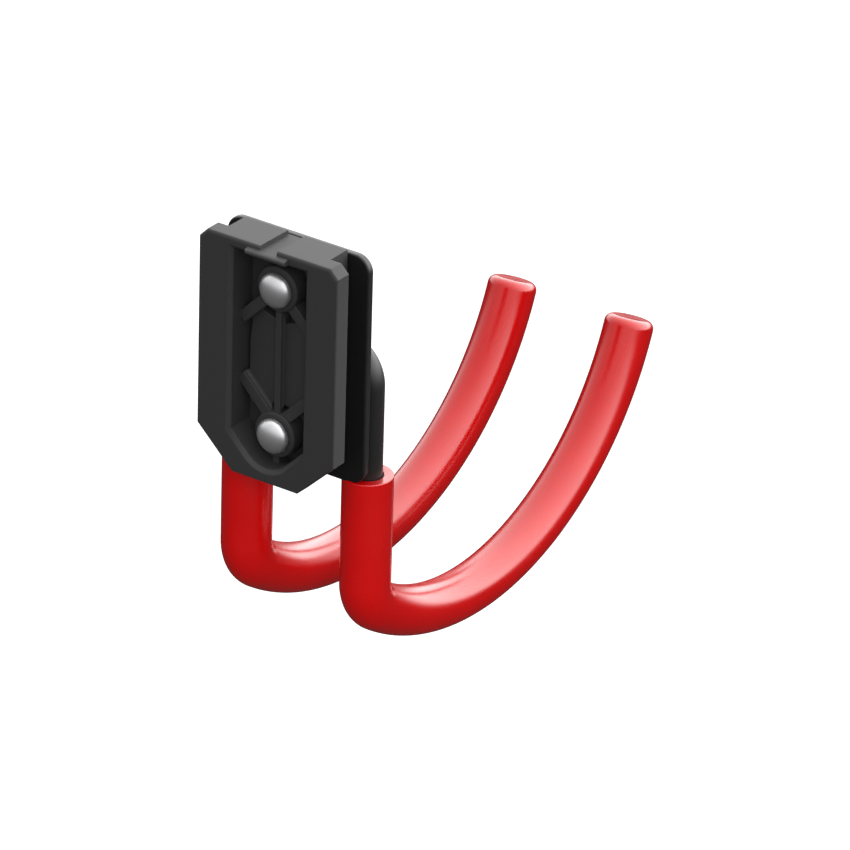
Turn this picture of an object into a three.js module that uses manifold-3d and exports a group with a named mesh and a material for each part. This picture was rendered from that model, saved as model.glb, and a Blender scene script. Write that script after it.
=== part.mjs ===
// Two-arm bicycle hook for a slotted wall rail.
//
// A moulded cleat slides into the rail. Two domed rivets clamp a steel plate to the
// cleat's back, and one bent rod is welded across the plate: its two legs hang down
// and sweep out into two curved arms, each inside a thick soft sleeve.
//
// Millimetres, +Z up, +Y away from the wall, X across. The origin is the middle of
// the bottom edge of the cleat's wall-side face.

import * as THREE from 'three';
import { mergeVertices } from 'three/addons/utils/BufferGeometryUtils.js';
import Module from 'manifold-3d';

// ---------------------------------------------------------------- driving sizes

const FIT_GAP = 0.3;               // clearance where one piece seats on another

// cleat: front plate that sits inside the rail, and the neck behind it
const CLEAT_WIDTH = 57.5;
const CLEAT_HEIGHT = 88;
const CLEAT_THICK = 6.7;
const TOP_CORNER = 3.2;            // 45 degree cut on each top corner
const LOW_CORNER_X = 15;           // cut on each bottom corner, across
const LOW_CORNER_Z = 14.3;         // and up
const TOP_EDGE_ROUND = 1.4;
const NECK_WIDTH = 42.3;
const NECK_LOW_CORNER = 13;
const NECK_BOTTOM = 1;
const SLOT_WIDTH = 10.2;           // room for the rail's lips, front plate to steel plate
const NECK_TOP_ROUND = 1.6;

// pocket in the cleat's wall side
const POCKET_WIDTH = 30.4;
const POCKET_TOP_MARGIN = 4.5;     // rail-side wall above the pocket
const POCKET_LOW_WALL = 4.9;       // wall below the pocket at the middle
const POCKET_LOW_RADIUS = 10.9;
const POCKET_DEPTH = 12.3;
const POCKET_BEVEL = 1.4;
const RIB_THICK = 2.7;
const RIB_FACE = 6.7;              // depth of the upright rib's face below the front
const BRACE_WIDTH = 4.2;
const BRACE_FACE = 6.1;
const LOW_BRACE_LIFT = 3.1;        // lower braces leave the boss this far above its middle
const PAD_FACE = 9.2;
const PAD_SIDE_GAP = 1.7;
const PAD_HIGH_GAP = 5.5;          // open space between the upper boss and the pads
const PAD_LOW_GAP = 2.2;           // and above the lower boss
const PAD_END_RISE = 0.32;         // slope of the pads' ends

// channel along the cleat's top, and the lip that it runs out on
const CHANNEL_WIDTH = 7.2;
const CHANNEL_DEPTH = 1.6;
const LIP_WIDTH = 16.7;
const LIP_REACH = 2.3;
const LIP_THICK = 2.4;
const LIP_DROP = 0.9;
const LIP_TOP_MARGIN = 1.1;
const LIP_NOSE = 0.7;

// rivets and their bosses
const BOSS_RADIUS = 8.4;
const BOSS_FACE = 5.4;
const RIVET_LOW = 16.0;            // height of the lower rivet
const RIVET_TOP_MARGIN = 17.1;     // upper rivet's middle below the cleat's top
const RIVET_HEAD_RADIUS = 6.3;
const RIVET_HEAD_HEIGHT = 3.8;
const RIVET_SHANK_RADIUS = 3.2;
const RIVET_TAIL_RADIUS = 4.8;
const RIVET_TAIL_HEIGHT = 2.4;
const RIVET_TAIL_CROWN = 3.4;      // radius of the tail's flat end

// steel plate: a little wider than the cleat, and not quite as tall
const PLATE_OVERHANG = 0.9;
const PLATE_TOP_INSET = 1.4;
const PLATE_LOW_INSET = 0.6;
const PLATE_THICK = 3;
const PLATE_CORNER = 6;

// bent rod
const ROD_RADIUS = 5.1;
const LEG_SPACING = 50.8;
const CROSSBAR_HEIGHT = 46.8;
const ELBOW_RADIUS = 12;
const LEG_LOW = -40;               // height where the leg starts to bend outwards
const HEEL_RADIUS = 14.6;
const HEEL_ANGLE = 56;             // degrees
const SWEEP_RADIUS = 102.7;
const SWEEP_ANGLE = 104.8;         // degrees

// sleeves
const SLEEVE_RADIUS = 9;
const SLEEVE_TOP = -1.6;
const SLEEVE_TIP_ROUND = 3;
const SLEEVE_TIP_WALL = 5;         // soft material beyond the rod's end

// weld beads that hold the rod on the plate
const WELD_LEG = 3;                // side of the bead's triangular section
const WELD_START = 0.62;           // where the bead starts from the rod's middle, in rod radii
const WELD_CREST = 0.45;           // the bead's crest, across and out, as shares of its side
const WELD_RISE = 0.75;
const CROSSBAR_WELD_LENGTH = 20;
const LEG_WELD_LENGTH = 22;
const LEG_WELD_LOW = 7;            // height of the leg beads' lower ends

// how finely round shapes are faceted
const BOSS_SIDES = 32;
const ROD_SIDES = 12;
const SLEEVE_SIDES = 18;
const RIVET_SIDES = 24;
const ARC_STEPS = 3;
const ELBOW_STEPS = 6;
const HEEL_STEPS = 5;
const SWEEP_STEPS = 22;

// ---------------------------------------------------------------- worked out from them

const HALF_WIDTH = CLEAT_WIDTH / 2;
const HALF_NECK = NECK_WIDTH / 2;
const HALF_POCKET = POCKET_WIDTH / 2;
const HALF_RIB = RIB_THICK / 2;
const HALF_PLATE = HALF_WIDTH + PLATE_OVERHANG;
const PLATE_FRONT = CLEAT_THICK + SLOT_WIDTH;
const PLATE_BACK = PLATE_FRONT + PLATE_THICK;
const NECK_BACK = PLATE_FRONT - FIT_GAP;
const ROD_Y = PLATE_BACK + FIT_GAP + ROD_RADIUS;
const BORE_RADIUS = RIVET_SHANK_RADIUS + FIT_GAP;
const RIVET_HEIGHTS = [CLEAT_HEIGHT - RIVET_TOP_MARGIN, RIVET_LOW];
const POCKET_TOP = CLEAT_HEIGHT - POCKET_TOP_MARGIN;
const AIR = 5;                     // how far a cutting tool runs past a face
const SINK = 0.5;                  // how far joined shapes run into each other

// ---------------------------------------------------------------- materials

const MOULDED_PLASTIC = { color: 0x1d1e1f, roughness: 0.5, metalness: 0 };
const PAINTED_STEEL = { color: 0x0c0d0e, roughness: 0.32, metalness: 0.1 };
const RED_SLEEVE = { color: 0xc00a0c, roughness: 0.38, metalness: 0 };
const BRIGHT_STEEL = { color: 0xc9cbcd, roughness: 0.22, metalness: 1 };

// ---------------------------------------------------------------- solids

const wasm = await Module();
wasm.setup();

// turns a closed three.js geometry into a solid that can be cut and joined
function solid(geometry) {
  const bare = geometry.index ? geometry.toNonIndexed() : geometry.clone();
  bare.deleteAttribute('normal');
  bare.deleteAttribute('uv');
  const merged = mergeVertices(bare, 1e-4);
  return new wasm.Manifold(new wasm.Mesh({
    numProp: 3,
    vertProperties: new Float32Array(merged.attributes.position.array),
    triVerts: new Uint32Array(merged.index.array),
  }));
}

function geometryOf(body) {
  const mesh = body.getMesh();
  const geometry = new THREE.BufferGeometry();
  geometry.setAttribute('position', new THREE.BufferAttribute(mesh.vertProperties, 3));
  geometry.setIndex(new THREE.BufferAttribute(mesh.triVerts, 1));
  geometry.computeVertexNormals();
  return geometry;
}

function joined(bodies) {
  return bodies.reduce((whole, body) => whole.add(body));
}

function outline(points) {
  return new THREE.Shape(points.map(([a, b]) => new THREE.Vector2(a, b)));
}

// a shape drawn across (X) and up (Z), made solid between two depths (Y)
function upright(shape, yFrom, yTo, options = {}) {
  const settings = { depth: yTo - yFrom, bevelEnabled: false, curveSegments: ARC_STEPS, ...options };
  return new THREE.ExtrudeGeometry(shape, settings).rotateX(Math.PI / 2).translate(0, yTo, 0);
}

// a section drawn in depth (Y) and up (Z), made solid between two places across (X)
function crosswise(shape, xFrom, xTo) {
  const settings = { depth: xTo - xFrom, bevelEnabled: false, curveSegments: ARC_STEPS };
  const turn = new THREE.Matrix4().set(0, 0, 1, 0, 1, 0, 0, 0, 0, 1, 0, 0, 0, 0, 0, 1);
  return new THREE.ExtrudeGeometry(shape, settings).applyMatrix4(turn).translate(xFrom, 0, 0);
}

function box(xFrom, xTo, yFrom, yTo, zFrom, zTo) {
  const geometry = new THREE.BoxGeometry(xTo - xFrom, yTo - yFrom, zTo - zFrom);
  return geometry.translate((xFrom + xTo) / 2, (yFrom + yTo) / 2, (zFrom + zTo) / 2);
}

// a round bar along Y
function barAlongY(radius, yFrom, yTo, z, sides) {
  const geometry = new THREE.CylinderGeometry(radius, radius, yTo - yFrom, sides);
  return geometry.translate(0, (yFrom + yTo) / 2, z);
}

// what is cut away to round a top edge that runs along X: toward is -1 for an edge
// that faces the wall and +1 for one that faces away from it
function topEdgeCutter(yEdge, zTop, radius, toward) {
  const middleY = yEdge - toward * radius;
  const points = [[yEdge + toward, zTop + 1], [middleY, zTop + 1]];
  for (let step = 0; step <= ARC_STEPS; step += 1) {
    const turn = (step / ARC_STEPS) * Math.PI / 2;
    points.push([middleY + toward * radius * Math.sin(turn), zTop - radius + radius * Math.cos(turn)]);
  }
  points.push([yEdge + toward, zTop - radius]);
  return crosswise(outline(toward > 0 ? points.reverse() : points), -HALF_WIDTH - AIR, HALF_WIDTH + AIR);
}

// ---------------------------------------------------------------- cleat

function cleatOutline() {
  const top = CLEAT_HEIGHT;
  return outline([
    [-HALF_WIDTH + LOW_CORNER_X, 0],
    [HALF_WIDTH - LOW_CORNER_X, 0],
    [HALF_WIDTH, LOW_CORNER_Z],
    [HALF_WIDTH, top - TOP_CORNER],
    [HALF_WIDTH - TOP_CORNER, top],
    [-HALF_WIDTH + TOP_CORNER, top],
    [-HALF_WIDTH, top - TOP_CORNER],
    [-HALF_WIDTH, LOW_CORNER_Z],
  ]);
}

function neckOutline() {
  const lowX = HALF_NECK - NECK_LOW_CORNER;
  const lowZ = NECK_BOTTOM + NECK_LOW_CORNER;
  return outline([
    [-lowX, NECK_BOTTOM],
    [lowX, NECK_BOTTOM],
    [HALF_NECK, lowZ],
    [HALF_NECK, CLEAT_HEIGHT],
    [-HALF_NECK, CLEAT_HEIGHT],
    [-HALF_NECK, lowZ],
  ]);
}

// straight sides, then 45 degree flanks that run into a round bottom
function pocketOutline() {
  const middleZ = POCKET_LOW_WALL + POCKET_LOW_RADIUS;
  const tangent = POCKET_LOW_RADIUS * Math.SQRT1_2;
  const flankTop = middleZ - tangent + (HALF_POCKET - tangent);
  const shape = new THREE.Shape();
  shape.moveTo(-HALF_POCKET, POCKET_TOP);
  shape.lineTo(-HALF_POCKET, flankTop);
  shape.lineTo(-tangent, middleZ - tangent);
  shape.absarc(0, middleZ, POCKET_LOW_RADIUS, -0.75 * Math.PI, -0.25 * Math.PI, false);
  shape.lineTo(HALF_POCKET, flankTop);
  shape.lineTo(HALF_POCKET, POCKET_TOP);
  shape.closePath();
  return shape;
}

function pocketBevelCutter() {
  const bevel = {
    bevelEnabled: true, bevelSegments: 1, bevelThickness: POCKET_BEVEL, bevelSize: POCKET_BEVEL,
    curveSegments: 2 * ARC_STEPS,
  };
  return upright(pocketOutline(), -AIR, 0, bevel);
}

// a lip below the channel's front end, with a sloping top and a rounded nose
function lipSection() {
  const top = CLEAT_HEIGHT - LIP_TOP_MARGIN;
  const low = top - LIP_THICK;
  const noseTop = top - LIP_DROP;
  return outline([
    [2 * SINK, top],
    [-LIP_REACH + LIP_NOSE, noseTop],
    [-LIP_REACH, noseTop - LIP_NOSE],
    [-LIP_REACH, low + LIP_NOSE / 2],
    [-LIP_REACH + LIP_NOSE / 2, low],
    [2 * SINK, low],
  ]);
}

// one sloping brace from a boss to the pocket's side wall
function brace(side, height, lift, rise) {
  const length = HALF_POCKET * Math.SQRT2;
  const bar = box(0, length, BRACE_FACE, POCKET_DEPTH + SINK, -BRACE_WIDTH / 2, BRACE_WIDTH / 2);
  bar.rotateY(-rise * Math.PI / 4).translate(0, 0, height + lift);
  return side < 0 ? mirrored(bar) : bar;
}

// a geometry mirrored across X = 0, with its faces still pointing out
function mirrored(geometry) {
  const copy = geometry.index ? geometry.toNonIndexed() : geometry.clone();
  const place = copy.attributes.position;
  for (let face = 0; face < place.count; face += 3) {
    const first = new THREE.Vector3().fromBufferAttribute(place, face);
    const second = new THREE.Vector3().fromBufferAttribute(place, face + 1);
    place.setXYZ(face, -second.x, second.y, second.z);
    place.setXYZ(face + 1, -first.x, first.y, first.z);
    place.setX(face + 2, -place.getX(face + 2));
  }
  return copy;
}

// the raised pad between the rib, the side wall and the two braces on one side
function pad(side) {
  const [high, low] = RIVET_HEIGHTS;
  const inner = HALF_RIB - SINK;
  const outer = HALF_POCKET - PAD_SIDE_GAP;
  const highEnd = high - BOSS_RADIUS - PAD_HIGH_GAP;
  const lowEnd = low + BOSS_RADIUS + PAD_LOW_GAP;
  const shoulder = outer - PAD_SIDE_GAP;
  const rise = PAD_END_RISE * shoulder;
  const shape = outline([
    [inner, lowEnd],
    [shoulder, lowEnd - rise],
    [outer, lowEnd - rise + PAD_SIDE_GAP],
    [outer, highEnd + rise - outer],
    [shoulder, highEnd + rise],
    [inner, highEnd],
  ]);
  const block = upright(shape, PAD_FACE, POCKET_DEPTH + SINK);
  return side < 0 ? mirrored(block) : block;
}

function cleatBody() {
  const pocket = upright(pocketOutline(), -AIR, POCKET_DEPTH, { curveSegments: 2 * ARC_STEPS });
  const shell = joined([
    solid(upright(cleatOutline(), 0, CLEAT_THICK)),
    solid(upright(neckOutline(), CLEAT_THICK - SINK, NECK_BACK)),
  ])
    .subtract(solid(topEdgeCutter(0, CLEAT_HEIGHT, TOP_EDGE_ROUND, -1)))
    .subtract(solid(topEdgeCutter(NECK_BACK, CLEAT_HEIGHT, NECK_TOP_ROUND, 1)))
    .add(solid(crosswise(lipSection(), -LIP_WIDTH / 2, LIP_WIDTH / 2)))
    .subtract(solid(box(-CHANNEL_WIDTH / 2, CHANNEL_WIDTH / 2, -AIR, NECK_BACK + AIR,
      CLEAT_HEIGHT - CHANNEL_DEPTH, CLEAT_HEIGHT + AIR)))
    .subtract(solid(pocket))
    .subtract(solid(pocketBevelCutter()));

  const inside = [
    solid(box(-HALF_RIB, HALF_RIB, RIB_FACE, POCKET_DEPTH + SINK, POCKET_LOW_WALL - SINK, POCKET_TOP + SINK)),
  ];
  const [high, low] = RIVET_HEIGHTS;
  for (const side of [-1, 1]) {
    inside.push(solid(brace(side, high, 0, -1)));
    inside.push(solid(brace(side, low, LOW_BRACE_LIFT, 1)));
    inside.push(solid(pad(side)));
  }
  for (const height of RIVET_HEIGHTS) {
    inside.push(solid(barAlongY(BOSS_RADIUS, BOSS_FACE, POCKET_DEPTH + SINK, height, BOSS_SIDES)));
  }
  const room = solid(upright(neckOutline(), BOSS_FACE - SINK, NECK_BACK));
  const bores = RIVET_HEIGHTS.map(
    (height) => solid(barAlongY(BORE_RADIUS, -AIR, NECK_BACK + AIR, height, RIVET_SIDES)),
  );
  return shell.add(joined(inside).intersect(room)).subtract(joined(bores));
}

// ---------------------------------------------------------------- plate and rivets

function backPlate() {
  const cornerX = HALF_PLATE - PLATE_CORNER;
  const lowZ = PLATE_LOW_INSET + PLATE_CORNER;
  const highZ = CLEAT_HEIGHT - PLATE_TOP_INSET - PLATE_CORNER;
  const shape = new THREE.Shape();
  shape.moveTo(-cornerX, PLATE_LOW_INSET);
  shape.absarc(cornerX, lowZ, PLATE_CORNER, -Math.PI / 2, 0, false);
  shape.absarc(cornerX, highZ, PLATE_CORNER, 0, Math.PI / 2, false);
  shape.absarc(-cornerX, highZ, PLATE_CORNER, Math.PI / 2, Math.PI, false);
  shape.absarc(-cornerX, lowZ, PLATE_CORNER, Math.PI, 1.5 * Math.PI, false);
  shape.closePath();
  const blank = solid(upright(shape, PLATE_FRONT, PLATE_BACK, { curveSegments: 2 * ARC_STEPS }));
  const holes = RIVET_HEIGHTS.map(
    (height) => solid(barAlongY(BORE_RADIUS, PLATE_FRONT - AIR, PLATE_BACK + AIR, height, RIVET_SIDES)),
  );
  return blank.subtract(joined(holes));
}

// a domed head on the boss, a shank through cleat and plate, and a formed tail
function rivet(height) {
  const seat = BOSS_FACE - FIT_GAP;
  const tailSeat = PLATE_BACK + FIT_GAP;
  const tailEnd = tailSeat + RIVET_TAIL_HEIGHT;
  const domeSteps = 2 * ARC_STEPS;
  const profile = [new THREE.Vector2(0, seat - RIVET_HEAD_HEIGHT)];
  for (let step = 1; step <= domeSteps; step += 1) {
    const turn = (step / domeSteps) * Math.PI / 2;
    profile.push(new THREE.Vector2(
      RIVET_HEAD_RADIUS * Math.sin(turn),
      seat - RIVET_HEAD_HEIGHT * Math.cos(turn),
    ));
  }
  profile.push(new THREE.Vector2(RIVET_SHANK_RADIUS, seat));
  profile.push(new THREE.Vector2(RIVET_SHANK_RADIUS, tailSeat));
  profile.push(new THREE.Vector2(RIVET_TAIL_RADIUS, tailSeat));
  profile.push(new THREE.Vector2(RIVET_TAIL_RADIUS, tailSeat + RIVET_TAIL_HEIGHT / 2));
  profile.push(new THREE.Vector2(RIVET_TAIL_CROWN, tailEnd));
  profile.push(new THREE.Vector2(0, tailEnd));
  return solid(new THREE.LatheGeometry(profile, RIVET_SIDES).translate(0, 0, height));
}

// ---------------------------------------------------------------- rod and sleeves

// A path in one piece: straight runs and arcs, each with its own number of steps, so
// that tight bends are faceted more finely than long runs.
class BentPath extends THREE.Curve {
  constructor(points) {
    super();
    this.points = points;
  }

  getPoint(share, target = new THREE.Vector3()) {
    const place = Math.min(Math.max(share, 0), 1) * (this.points.length - 1);
    const index = Math.min(Math.floor(place), this.points.length - 2);
    return target.lerpVectors(this.points[index], this.points[index + 1], place - index);
  }

  getTangent(share, target = new THREE.Vector3()) {
    const index = Math.round(share * (this.points.length - 1));
    const before = this.points[Math.max(index - 1, 0)];
    const after = this.points[Math.min(index + 1, this.points.length - 1)];
    return target.subVectors(after, before).normalize();
  }

  getUtoTmapping(share) {
    return share;
  }
}

function legX(side) {
  return (side * LEG_SPACING) / 2;
}

// how far the arm has turned from straight down, at a given length short of its tip
function armTurn(shortenBy) {
  return THREE.MathUtils.degToRad(HEEL_ANGLE + SWEEP_ANGLE) - shortenBy / SWEEP_RADIUS;
}

// points down one arm, from the leg's lower end to a given length short of its tip
function armPoints(side, shortenBy) {
  const points = [];
  let y = ROD_Y;
  let z = LEG_LOW;
  let heading = 0;
  const heelTurn = THREE.MathUtils.degToRad(HEEL_ANGLE);
  const bends = [
    { radius: HEEL_RADIUS, end: heelTurn, steps: HEEL_STEPS },
    { radius: SWEEP_RADIUS, end: armTurn(shortenBy), steps: SWEEP_STEPS },
  ];
  for (const { radius, end, steps } of bends) {
    const middleY = y + radius * Math.cos(heading);
    const middleZ = z + radius * Math.sin(heading);
    for (let step = 1; step <= steps; step += 1) {
      const angle = THREE.MathUtils.lerp(heading, end, step / steps);
      y = middleY - radius * Math.cos(angle);
      z = middleZ - radius * Math.sin(angle);
      points.push(new THREE.Vector3(legX(side), y, z));
    }
    heading = end;
  }
  return points;
}

function tube(points, radius, sides) {
  const section = new THREE.Shape();
  for (let side = 0; side < sides; side += 1) {
    const angle = (2 * Math.PI * (side + 0.5)) / sides;
    const spot = [radius * Math.cos(angle), radius * Math.sin(angle)];
    if (side === 0) section.moveTo(...spot);
    else section.lineTo(...spot);
  }
  section.closePath();
  const settings = { steps: points.length - 1, extrudePath: new BentPath(points), bevelEnabled: false };
  return new THREE.ExtrudeGeometry(section, settings);
}

function elbowPoints(side) {
  const middle = { x: side * (LEG_SPACING / 2 - ELBOW_RADIUS), z: CROSSBAR_HEIGHT - ELBOW_RADIUS };
  const points = [];
  for (let step = 0; step <= ELBOW_STEPS; step += 1) {
    const angle = (step / ELBOW_STEPS) * Math.PI / 2;
    points.push(new THREE.Vector3(
      middle.x + side * ELBOW_RADIUS * Math.sin(angle),
      ROD_Y,
      middle.z + ELBOW_RADIUS * Math.cos(angle),
    ));
  }
  return points;
}

function hookRod() {
  const half = (side) => [
    ...elbowPoints(side),
    new THREE.Vector3(legX(side), ROD_Y, SLEEVE_TOP),
    new THREE.Vector3(legX(side), ROD_Y, LEG_LOW),
    ...armPoints(side, SLEEVE_TIP_WALL),
  ];
  return solid(tube([...half(-1).reverse(), ...half(1)], ROD_RADIUS, ROD_SIDES));
}

function sleeve(side) {
  const top = new THREE.Vector3(legX(side), ROD_Y, SLEEVE_TOP);
  const above = top.clone().setZ(SLEEVE_TOP + AIR);
  const bend = top.clone().setZ(LEG_LOW);
  const skinArm = armPoints(side, SLEEVE_TIP_ROUND);
  const skin = tube([top, bend, ...skinArm], SLEEVE_RADIUS, SLEEVE_SIDES);
  const boreArm = armPoints(side, SLEEVE_TIP_WALL - FIT_GAP);
  const bore = tube([above, bend, ...boreArm], ROD_RADIUS + FIT_GAP, ROD_SIDES);

  const turn = armTurn(SLEEVE_TIP_ROUND);
  const heading = new THREE.Vector3(0, Math.sin(turn), -Math.cos(turn));
  const end = skinArm.at(-1);
  const tip = new THREE.CylinderGeometry(
    SLEEVE_RADIUS - SLEEVE_TIP_ROUND, SLEEVE_RADIUS, SLEEVE_TIP_ROUND + SINK, SLEEVE_SIDES,
  );
  tip.translate(0, (SLEEVE_TIP_ROUND - SINK) / 2, 0);
  tip.applyQuaternion(new THREE.Quaternion().setFromUnitVectors(new THREE.Vector3(0, 1, 0), heading));
  tip.translate(end.x, end.y, end.z);
  return solid(skin).add(solid(tip)).subtract(solid(bore));
}

// ---------------------------------------------------------------- weld beads

// a three-sided bead in the corner between the plate's back and the rod
function weldSection(away) {
  const corner = ROD_RADIUS * WELD_START * away;
  return [
    [corner, PLATE_BACK + FIT_GAP],
    [corner + away * WELD_LEG, PLATE_BACK + FIT_GAP],
    [corner + away * WELD_LEG * WELD_CREST, PLATE_BACK + FIT_GAP + WELD_LEG * WELD_RISE],
  ];
}

function crossbarWeld(away) {
  const spots = weldSection(away).map(([up, y]) => [y, CROSSBAR_HEIGHT + up]);
  const shape = outline(away > 0 ? spots : spots.reverse());
  const half = CROSSBAR_WELD_LENGTH / 2;
  return solid(crosswise(shape, -half, half)).subtract(hookRodClearance());
}

function legWeld(side) {
  const spots = weldSection(-side).map(([across, y]) => new THREE.Vector2(legX(side) + across, y));
  const shape = new THREE.Shape(THREE.ShapeUtils.isClockWise(spots) ? spots.reverse() : spots);
  const bead = new THREE.ExtrudeGeometry(shape, { depth: LEG_WELD_LENGTH, bevelEnabled: false });
  return solid(bead.translate(0, 0, LEG_WELD_LOW)).subtract(hookRodClearance());
}

// the room that the rod and its fitting gap take up behind the plate
function hookRodClearance() {
  const half = (side) => [...elbowPoints(side), new THREE.Vector3(legX(side), ROD_Y, SLEEVE_TOP)];
  const path = [...half(-1).reverse(), ...half(1)];
  return solid(tube(path, (ROD_RADIUS + FIT_GAP) / Math.cos(Math.PI / ROD_SIDES), ROD_SIDES));
}

// ---------------------------------------------------------------- the assembly

const rack = new THREE.Group();

function place(name, body, finish) {
  const mesh = new THREE.Mesh(geometryOf(body), new THREE.MeshStandardMaterial(finish));
  mesh.name = name;
  rack.add(mesh);
}

place('cleat_body', cleatBody(), MOULDED_PLASTIC);
place('back_plate', backPlate(), PAINTED_STEEL);
place('upper_rivet', rivet(RIVET_HEIGHTS[0]), BRIGHT_STEEL);
place('lower_rivet', rivet(RIVET_HEIGHTS[1]), BRIGHT_STEEL);
place('hook_rod', hookRod(), PAINTED_STEEL);
place('left_sleeve', sleeve(-1), RED_SLEEVE);
place('right_sleeve', sleeve(1), RED_SLEEVE);
place('crossbar_weld_top', crossbarWeld(1), PAINTED_STEEL);
place('crossbar_weld_bottom', crossbarWeld(-1), PAINTED_STEEL);
place('left_leg_weld', legWeld(-1), PAINTED_STEEL);
place('right_leg_weld', legWeld(1), PAINTED_STEEL);

export default rack;
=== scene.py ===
"""Two-arm bicycle hook for a slotted wall rail: finished meshes, finishes, light and camera.

Every piece is modelled around the packed frame, in metres: +Z up, +Y away from the wall
and X across, with the origin at the middle of the bottom edge of the cleat's wall side.
"""

import math

import bmesh
import bpy
from bpy.props import FloatProperty, FloatVectorProperty, PointerProperty
from mathutils import Matrix, Vector


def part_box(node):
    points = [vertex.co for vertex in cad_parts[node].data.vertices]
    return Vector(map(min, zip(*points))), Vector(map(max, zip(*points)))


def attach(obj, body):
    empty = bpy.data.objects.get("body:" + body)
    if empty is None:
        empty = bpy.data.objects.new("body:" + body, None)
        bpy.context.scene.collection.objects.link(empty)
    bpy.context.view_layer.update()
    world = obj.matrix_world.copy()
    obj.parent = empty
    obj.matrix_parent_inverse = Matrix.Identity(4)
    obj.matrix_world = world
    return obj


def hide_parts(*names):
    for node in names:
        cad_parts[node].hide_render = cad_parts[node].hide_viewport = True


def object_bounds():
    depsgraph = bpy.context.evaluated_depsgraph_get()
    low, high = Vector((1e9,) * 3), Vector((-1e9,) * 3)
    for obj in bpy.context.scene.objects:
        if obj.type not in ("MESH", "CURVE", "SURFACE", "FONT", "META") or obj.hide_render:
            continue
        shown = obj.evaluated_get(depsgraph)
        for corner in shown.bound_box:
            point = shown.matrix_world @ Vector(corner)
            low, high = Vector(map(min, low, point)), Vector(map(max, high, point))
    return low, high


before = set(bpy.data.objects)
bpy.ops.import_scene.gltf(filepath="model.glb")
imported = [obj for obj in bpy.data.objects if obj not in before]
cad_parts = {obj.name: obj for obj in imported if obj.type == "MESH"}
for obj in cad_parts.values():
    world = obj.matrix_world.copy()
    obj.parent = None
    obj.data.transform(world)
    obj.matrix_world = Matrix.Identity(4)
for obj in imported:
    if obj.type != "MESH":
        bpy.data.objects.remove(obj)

bl_info = {
    "name": "Two-Arm Bicycle Hook",
    "version": (1, 0, 0),
    "blender": (4, 5, 0),
    "location": "3D View > Sidebar > Bicycle Hook",
    "description": "Builds a rail-mounted bicycle hook with two sleeved arms",
    "category": "Add Mesh",
}

# ------------------------------------------------------------------ the frame's sizes

MM = 0.001
TOLERANCE = 0.01 * MM              # two places this near to each other count as one
PAST = 5 * MM                      # how far a cutting solid runs past a face
PAD_SINK = 0.5 * MM                # how far joined solids run into the cleat: each kind
RIB_SINK = 0.6 * MM                # goes a little deeper than the last, so that no two
BOSS_SINK = 0.7 * MM               # of their hidden faces lie in one plane
CAD_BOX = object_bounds()
CLEAT_LOW, CLEAT_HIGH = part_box("cleat_body")
PLATE_LOW, PLATE_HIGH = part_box("back_plate")
ROD_LOW, ROD_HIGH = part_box("hook_rod")
SLEEVE_LOW, SLEEVE_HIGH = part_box("right_sleeve")
RIVET_LOW, RIVET_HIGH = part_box("lower_rivet")
UPPER_RIVET_LOW, UPPER_RIVET_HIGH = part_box("upper_rivet")
BAR_WELD_LOW, BAR_WELD_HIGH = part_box("crossbar_weld_top")
LEG_WELD_LOW, LEG_WELD_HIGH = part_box("right_leg_weld")

FRAME_ROD_SIDES = 12               # the frame's rod is twelve-sided, flats outwards
SLEEVE_RADIUS = (SLEEVE_HIGH.x - SLEEVE_LOW.x) / 2
LEG_X = (SLEEVE_HIGH.x + SLEEVE_LOW.x) / 2
ROD_FLAT = ROD_HIGH.x - LEG_X
ROD_RADIUS = ROD_FLAT / math.cos(math.pi / FRAME_ROD_SIDES)
ROD_Y = ROD_LOW.y + ROD_FLAT
CROSSBAR_Z = ROD_HIGH.z - ROD_FLAT
SEAT_GAP = PLATE_LOW.y - CLEAT_HIGH.y
RIVET_HEIGHTS = {
    "upper": (UPPER_RIVET_LOW.z + UPPER_RIVET_HIGH.z) / 2,
    "lower": (RIVET_LOW.z + RIVET_HIGH.z) / 2,
}


# ------------------------------------------------------------------ settings

def length(name, description, default):
    """A size in metres that a user can change."""
    return FloatProperty(
        name=name, description=description, default=default,
        precision=5, subtype="DISTANCE", unit="LENGTH",
    )


def angle(name, description, default):
    """An angle, given in degrees and kept in radians."""
    return FloatProperty(
        name=name, description=description, default=math.radians(default),
        subtype="ANGLE", unit="ROTATION",
    )


def share(name, description, default):
    """A number from 0 to 1."""
    return FloatProperty(
        name=name, description=description, default=default, min=0, max=1, subtype="FACTOR",
    )


def colour(name, description, default):
    """A linear colour."""
    return FloatVectorProperty(
        name=name, description=description, default=default, size=3, min=0, max=1, subtype="COLOR",
    )


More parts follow.
